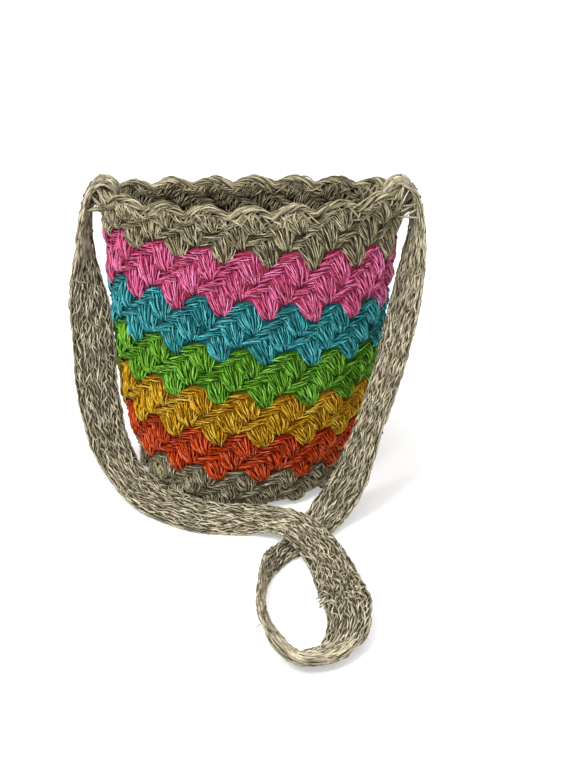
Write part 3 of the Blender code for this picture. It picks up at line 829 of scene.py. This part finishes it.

# %% [markdown]
# ## Strap
# The strap is a long flat band of tall stitches, about 40 mm wide and 1.42 m long. It runs
# from one corner of the mouth down, twists, lies in a loop in front of the bag and goes up
# to the other corner. Its route is a list of given points, each with the direction across
# the band and its width. Short wavy strands run along it, leaning to one edge in two rows
# and to the other in the next two, a few lie across them, and a lumpy selvedge closes
# both edges.

# %% Route of the strap
STRAP_THICKNESS = 5.0 * MM
STRAP_ROUTE = np.array((        # middle in mm, direction across, width in mm
    (-117, 0, 280, 0, 1, 0, 24),
    (-118, 0, 292, 0, 1, 0, 24),
    (-122, 0, 301, 0, 1, 0, 25),
    (-131, 0, 306, 0, 1, 0, 26),
    (-141, -1, 300, 0, 1, 0, 27),
    (-147, -2, 286, 0.15, 1, 0, 28),
    (-151, -4, 262, 0.25, 1, 0, 31),
    (-152, -9, 236, 0.35, 0.9, 0, 35),
    (-151, -15, 208, 0.7, 0.75, 0, 38),
    (-148, -23, 180, 0.95, 0.45, 0, 40),
    (-145, -31, 150, 1, 0.15, 0, 40),
    (-144, -38, 117, 1, 0.1, 0, 40),
    (-140, -44, 83, 0.95, 0.3, 0, 40),
    (-132, -52, 50, 0.85, 0.5, 0, 40),
    (-117, -66, 25, 0.65, 0.75, 0.1, 40),
    (-93, -88, 11.5, 0.4, 0.9, 0.3, 40),
    (-66, -110.5, 8.5, 0.25, 0.95, 0.28, 41),
    (-35, -127, 7.2, 0.1, 1, 0.26, 41),
    (-2, -132, 7.2, 0.05, 1, 0.26, 41),
    (27, -137.5, 10.6, 0.2, 1, 0.15, 40),
    (50, -153, 14, 0.5, 0.85, 0.05, 40),
    (65, -175, 14, 0.6, 0.8, 0, 40),
    (77, -201, 13, 0.75, 0.65, 0, 40),
    (86, -227, 11, 0.9, 0.4, 0, 40),
    (91, -253, 11, 0.95, 0.2, 0.1, 40),
    (95, -280, 15, 0.95, 0, 0.25, 40),
    (98, -307, 21, 0.92, -0.2, 0.25, 39),
    (96, -331, 12, 0.8, -0.5, 0.2, 38),
    (85, -350, 7, 0.45, -0.85, 0.3, 37),
    (72, -359, 7, 0.15, -0.95, 0.3, 37),
    (57, -362, 8, -0.15, -0.95, 0.35, 36),
    (43, -352, 11, -0.35, -0.75, 0.55, 35),
    (33, -332, 14, -0.4, -0.5, 0.75, 32),
    (26, -309, 14, -0.35, -0.2, 0.9, 28),
    (23, -281, 13, -0.15, 0, 1, 25),
    (24, -250, 13, -0.1, 0.2, 1, 24),
    (30, -220, 11, -0.3, 0.3, 0.8, 21),
    (41, -194, 7, -0.7, 0.5, 0.4, 20),
    (55, -173, 4, -0.75, 0.6, 0.05, 27),
    (69, -151, 4, -0.75, 0.65, 0, 35),
    (85, -126, 12, -0.7, 0.65, 0.05, 40),
    (105, -110, 37, -0.7, 0.7, 0, 41),
    (116, -100, 63, -0.6, 0.8, 0, 40),
    (126, -88, 90, -0.5, 0.85, 0, 40),
    (137, -72, 117, -0.5, 0.85, 0, 40),
    (147, -56, 144, -0.55, 0.85, 0, 40),
    (155, -42, 173, -0.6, 0.8, 0, 40),
    (162, -28, 203, -0.6, 0.8, 0, 38),
    (168, -15, 233, -0.5, 0.85, 0, 35),
    (171, -7, 260, -0.35, 0.95, 0, 31),
    (169, -3, 284, -0.25, 0.95, 0, 29),
    (164, -1, 299, -0.1, 1, 0, 28),
    (154, 0, 306, 0, 1, 0, 26),
    (144, 0, 301, 0, 1, 0, 25),
    (140, 0, 292, 0, 1, 0, 24),
    (139, 0, 280, 0, 1, 0, 24),
), float)
STRAP_ROW = 5.5 * MM
STRAP_WIDTH = 40 * MM           # where it lies flat
ROUTE_SAMPLES = 4000


def route_table():
    """Middles, directions across and widths, with one more point at both ends."""
    table = STRAP_ROUTE * (MM, MM, MM, 1, 1, 1, MM)
    return np.vstack([2 * table[0] - table[1], table, 2 * table[-1] - table[-2]])


ROUTE = route_table()


def read_route(t):
    """Catmull-Rom curve through the table at places t, counted in its points."""
    i = np.clip(t.astype(int), 0, len(ROUTE) - 4)
    u = (t - i)[..., None]
    a, b, c, d = ROUTE[i], ROUTE[i + 1], ROUTE[i + 2], ROUTE[i + 3]
    curve = 2 * b + (c - a) * u + (2 * a - 5 * b + 4 * c - d) * u ** 2
    return 0.5 * (curve + (3 * b - a - 3 * c + d) * u ** 3)


ROUTE_T = np.linspace(0, len(STRAP_ROUTE) - 1, ROUTE_SAMPLES)
ROUTE_STEPS = np.linalg.norm(np.diff(read_route(ROUTE_T)[:, :3], axis=0), axis=1)
ROUTE_LENGTH = np.concatenate([[0], np.cumsum(ROUTE_STEPS)])
STRAP_LENGTH = ROUTE_LENGTH[-1]
STRAP_ROWS = round(STRAP_LENGTH / STRAP_ROW)


def on_strap(length, across, lift, by_length=True):
    """Points of the strap: length along it, across from -1 to 1 edge to edge, lift off its middle.

    Also gives the direction of the face there, the cross product of the way along and across.
    """
    t = np.interp(length, ROUTE_LENGTH, ROUTE_T) if by_length else np.asarray(length, float)
    t = np.clip(t, 0, len(STRAP_ROUTE) - 1)
    here = read_route(t)
    last = len(STRAP_ROUTE) - 1
    before, after = (read_route(np.clip(t + step, 0, last)) for step in (-0.02, 0.02))
    along = unit((after - before)[..., :3])
    across_way = here[..., 3:6]
    sideways = unit(across_way - along * np.sum(across_way * along, axis=-1, keepdims=True))
    face = np.cross(along, sideways)
    points = here[..., :3] + (across * here[..., 6] / 2)[..., None] * sideways
    return points + lift[..., None] * face, face, sideways


print("the strap is %.2f m long, in %d rows" % (STRAP_LENGTH, STRAP_ROWS))

# %% Strap
POSTS = 16
POST_LENGTH = 12.5 * MM
POST_LEAN = 0.07                # how far a post leans across, in half widths
STRAP_STRAND = 0.93 * MM
STRAND_REACH = 0.97             # how far out a strand's middle may lie, in half widths
SELVEDGE_ROW = 9 * MM
GATHERS = 44                    # strands at each corner
GATHER_STRAND = 1.05 * MM
GATHER_SPREAD = 1.5             # how far along the rim they reach, in columns
GATHER_PLACES = (3.2, 5.6)      # where they end on the strap, counted in its points
LEFT_CORNER, RIGHT_CORNER = 34.56, 10.56        # columns of the mouth's two corners
THREAD = ((27, -319, 14), (18.5, -324, 11))     # start and end in mm
TUFT = ((78, -285, 14), (74, -287, 12))
TUFT_ENDS = 24


def add_strap_bed(yarn):
    """Flat core of the band: an oval section carried along the route, closed at its ends."""
    length = np.linspace(0, STRAP_LENGTH, STRAP_ROWS + 1)
    turn = 2 * np.pi * np.arange(12) / 12
    across = np.sign(np.cos(turn)) * np.abs(np.cos(turn)) ** 0.6 * 0.95
    lift = 1.25 * MM * np.sin(turn)
    points, face, sideways = on_strap(*np.broadcast_arrays(length[:, None], across, lift))
    faces = tube_faces(len(length), len(turn))
    # painted shade: the strap's core takes the full shade colour, so its slits look dark
    add_surface(yarn, points, faces, 1.0, np.arange(12) / 2, length / TWIST_LENGTH)


def add_posts(yarn, side):
    """Strands along one face: one in each cell of a loose grid, longer than the cell.

    A row is STRAP_ROW long, a strand overlaps the rows before and after it. Where the band
    is narrower, so many are left out that they lie as densely as elsewhere.
    """
    row = np.repeat(np.arange(STRAP_ROWS), POSTS)
    place = (np.tile(np.arange(POSTS), STRAP_ROWS) + rng.uniform(0, 1, len(row))) / POSTS * 2 - 1
    middle = STRAP_LENGTH / STRAP_ROWS * (row + rng.uniform(0, 1, len(row)))
    width = read_route(np.interp(middle, ROUTE_LENGTH, ROUTE_T))[:, 6]
    keep = rng.uniform(0, 1, len(row)) < (width / STRAP_WIDTH) ** 0.8
    row, place, middle = (values[keep][:, None] for values in (row, place, middle))
    shape = place.shape
    t = np.linspace(-0.5, 0.5, STRAND_POINTS)[None]
    crossing = rng.uniform(0, 1, shape) < 0.05
    reach = POST_LENGTH * rng.uniform(0.65, 1.25, shape) * np.where(crossing, 0.5, 1)
    lean = POST_LEAN * np.where(row % 4 < 2, 1, -1) + rng.normal(0, 0.12, shape)
    lean = np.where(crossing, rng.normal(0, 0.45, shape), lean)
    length = middle + reach * t
    across = 0.93 * place + lean * t + rng.normal(0, 0.035, shape) * np.cos(np.pi * t)
    across = across + rng.normal(0, 0.025, shape) * np.sin(2 * np.pi * t)
    high = rng.uniform(0, 1, shape)
    lift = side * (0.9 + 0.8 * high + 0.9 * np.cos(np.pi * t)) * MM
    across = np.clip(across, -STRAND_REACH, STRAND_REACH)
    points, face, sideways = on_strap(*np.broadcast_arrays(length, across, lift))
    # painted shade at both ends and on strands that lie low in the band
    shade = 0.5 * np.abs(2 * t) ** 2 + 0.45 * (1 - high) ** 2
    size = STRAP_STRAND * rng.uniform(0.75, 1.25, shape)
    add_strands(yarn, points, face * side, size, FINE_SIDES, shade)


def add_selvedge(yarn, edge):
    """Strands along one edge: each turning chain bulges a little beyond the band."""
    rows = round(STRAP_LENGTH / SELVEDGE_ROW)
    row = np.repeat(np.arange(rows), 3)[:, None]
    lane = np.tile([-1, 0, 1], rows)[:, None]
    t = np.linspace(0, 1, STRAND_POINTS)[None]
    noise = rng.normal(0, 1, (3, len(row), 1))
    length = STRAP_LENGTH / rows * (row - 0.2 + 1.4 * t) + 1.5 * MM * noise[0]
    across = edge * (0.93 + 0.02 * noise[1] + 0.07 * np.sin(np.pi * t))
    lift = 1.1 * MM * lane + 0.4 * MM * noise[2]
    points, face, sideways = on_strap(*np.broadcast_arrays(length, across, lift))
    # painted shade, growing towards both ends of each strand
    shade = np.broadcast_to(0.15 + 0.45 * np.abs(2 * t - 1) ** 2, points.shape[:2])
    add_strands(yarn, points, edge * sideways, STRAP_STRAND, THICK_SIDES, shade)


def add_gathers(yarn, corner, turn, from_end):
    """Strands that draw the rim's corner and the end of the strap together.

    Each runs from a place along the rim near the corner to the strap's inner face, the
    front ones to its front edge. turn is the way in which columns run there, front to back.
    """
    place = rng.uniform(-1, 1, GATHERS)
    row = LAST_ROW - rng.uniform(0, 1.3, GATHERS)
    start = on_wall(corner + turn * GATHER_SPREAD * place, row, 2 * MM)
    t = rng.uniform(*GATHER_PLACES, GATHERS)
    t = len(STRAP_ROUTE) - 1 - t if from_end else t
    across = 0.9 * place + rng.normal(0, 0.1, GATHERS)
    across = np.clip(across, -STRAND_REACH, STRAND_REACH)
    lift = np.full(GATHERS, 1.5 * MM * (-1 if from_end else 1))
    end = on_strap(t, across, lift, by_length=False)[0]
    middle = (start + end) / 2 + rng.normal(0, 1.5 * MM, (GATHERS, 3))
    steps = np.broadcast_to(np.linspace(0, 1, 7), (GATHERS, 7))
    paths = bend(start, middle, end, steps)
    away = np.stack([0 * place, np.sign(place), 0 * place + 0.6], -1)
    away = np.broadcast_to(away[:, None], paths.shape)
    # painted shade, growing towards both ends of each strand
    shade = 0.15 + 0.35 * np.abs(2 * steps - 1) ** 2
    size = GATHER_STRAND * rng.uniform(0.8, 1.2, (GATHERS, 1))
    add_strands(yarn, paths, away, size, THICK_SIDES, shade)


def add_loose_ends(yarn):
    """One thin thread that sticks out of the loop, and a little tuft on its inner edge."""
    starts, tips = (np.array((THREAD[k], *[TUFT[k]] * TUFT_ENDS)) * MM for k in (0, 1))
    stray = rng.normal(0, 1, (2, TUFT_ENDS, 3)) * np.array((1.0, 5.0, 1.0)) * MM
    starts[1:] += stray[0]
    tips[1:] += stray[0] + 0.4 * stray[1]
    steps = np.broadcast_to(np.linspace(0, 1, 5), (len(starts), 5))
    paths = bend(starts, (starts + tips) / 2 + (0, 0, 1.5 * MM), tips, steps)
    away = np.broadcast_to((0.0, 0.0, 1.0), paths.shape)
    size = MM * np.array((0.5, *[0.75] * TUFT_ENDS))[:, None]
    # painted shade, growing towards each tip
    add_strands(yarn, paths, away, size, THICK_SIDES, 0.5 * steps ** 2)


strap = Yarn()
add_strap_bed(strap)
add_loose_ends(strap)
for side in (-1, 1):
    add_posts(strap, side)
    add_selvedge(strap, side)
add_gathers(strap, LEFT_CORNER, -1, False)
add_gathers(strap, RIGHT_CORNER, 1, True)
strap.rest_on_floor()
strap.build("knitted_strap", "strap", MATERIALS["strap"])

# %% [markdown]
# ## Lashings
# Sewing yarn runs to and fro over each end of the strap where it folds over the rim. A pass
# is a doubled strand that swings from edge to edge: a cosine across, steadily on along.

# %% Lashings
LASHING_RADIUS = 1.1 * MM
LASHING_PASSES = 5
LASHING_PITCH = 0.22
LASHING_START = 4.0
LASHING_REACH = 0.8
LASHING_GAP = 0.3 * MM
LASHING_SIDES = 6


def make_lashing(name, node, from_end):
    """Doubled yarn in one zigzag of passes over a strap end."""
    share = np.linspace(0, LASHING_PASSES, LASHING_PASSES * 6 + 1)[None]
    place = LASHING_START + LASHING_PITCH * share + np.array([[-0.025], [0.025]])
    if from_end:
        place = len(STRAP_ROUTE) - 1 - place
    across = LASHING_REACH * np.cos(np.pi * share) + 0 * place
    outer = STRAP_THICKNESS / 2 + LASHING_GAP + 0.6 * LASHING_RADIUS
    middle, face, sideways = on_strap(place, across, 0 * place, by_length=False)
    out = np.where(face[..., :1] * middle[..., :1] > 0, face, -face)
    twist = 0.35 * MM * np.array([[[1.0]], [[-1.0]]]) * np.cos(4 * np.pi * share)[..., None]
    yarn = Yarn()
    paths = middle + out * (outer + twist)
    # painted shade all along, deeper where the two strands of the doubled yarn turn round each other
    shade = 0.3 + 0.3 * np.cos(7 * np.pi * share + 0 * place) ** 2
    tone = rng.uniform(-1, 0, 2)
    add_strands(yarn, paths, out, 0.75 * LASHING_RADIUS, LASHING_SIDES, shade, tone)
    yarn.build(name, node, MATERIALS["strap"])


make_lashing("lashing_yarn_left", "strap_lashing_left", False)
make_lashing("lashing_yarn_right", "strap_lashing_right", True)

# %% [markdown]
# ## Floor and light
# A pale floor takes the soft shadow. To the camera, and in reflections, it adds a little
# light of its own and so stays white, as the photograph's ground does.

# %% Stage
FLOOR_SIZE = 30.0
FLOOR_GLOW = 0.4                # light that the floor adds for the camera and in reflections
WORLD_LIGHT = 0.45              # strength of the light from all round
AIM = np.array((0, 0, 0.15))    # what the lamps look at


def seen_rays(tree):
    """One for rays from the camera, in reflections and through glass, zero for the others."""
    path = tree.nodes.new("ShaderNodeLightPath")
    seen = path.outputs["Is Camera Ray"]
    for kind in ("Is Glossy Ray", "Is Transmission Ray"):
        seen = math_node(tree, "MAXIMUM", seen, path.outputs[kind])
    return seen


def make_floor():
    """A large pale floor whose camera rays add a little white."""
    mesh = bpy.data.meshes.new("floor")
    half = FLOOR_SIZE / 2
    corners = [(-half, -half, 0), (half, -half, 0), (half, half, 0), (-half, half, 0)]
    mesh.from_pydata(corners, [], [(0, 1, 2, 3)])
    floor = put("floor", mesh)
    material = bpy.data.materials.new("pale_floor")
    material.use_nodes = True
    tree = material.node_tree
    shader = tree.nodes["Principled BSDF"]
    shader.inputs["Base Color"].default_value = (0.8, 0.8, 0.8, 1)
    shader.inputs["Roughness"].default_value = 0.9
    shader.inputs["Emission Color"].default_value = (1, 1, 1, 1)
    glow = math_node(tree, "MULTIPLY", seen_rays(tree), FLOOR_GLOW)
    tree.links.new(glow, shader.inputs["Emission Strength"])
    mesh.materials.append(material)


def make_world():
    """Soft white light from all round; the camera sees it as pure white."""
    world = bpy.data.worlds.new("studio")
    world.use_nodes = True
    tree = world.node_tree
    background = tree.nodes["Background"]
    background.inputs["Color"].default_value = (1, 1, 1, 1)
    strength = math_node(tree, "MULTIPLY_ADD", seen_rays(tree), 1 - WORLD_LIGHT, WORLD_LIGHT)
    tree.links.new(strength, background.inputs["Strength"])
    bpy.context.scene.world = world


def add_lamp(name, place, size, power):
    """A square soft box that looks at the bag."""
    data = bpy.data.lights.new(name, "AREA")
    data.size = size
    data.energy = power
    lamp = put(name, data)
    look = unit(AIM - np.array(place))
    lamp.rotation_euler = (math.acos(-look[2]), 0, math.atan2(-look[0], look[1]))
    lamp.location = place


def add_overhead(power, spread, tilt):
    """Soft light from above that is equally strong near and far, so the floor stays white."""
    data = bpy.data.lights.new("overhead", "SUN")
    data.energy = power
    data.angle = spread
    lamp = put("overhead", data)
    lamp.rotation_euler = (tilt, 0, 0)
    lamp.location = (0, 0, 3)


make_floor()
make_world()
add_lamp("key", (-0.9, -1.3, 1.9), 0.9, 43)
add_overhead(1.25, math.radians(50), 0.2)
add_lamp("fill", (1.5, -1.6, 1.2), 1.4, 9)
print("floor, world and three lamps")
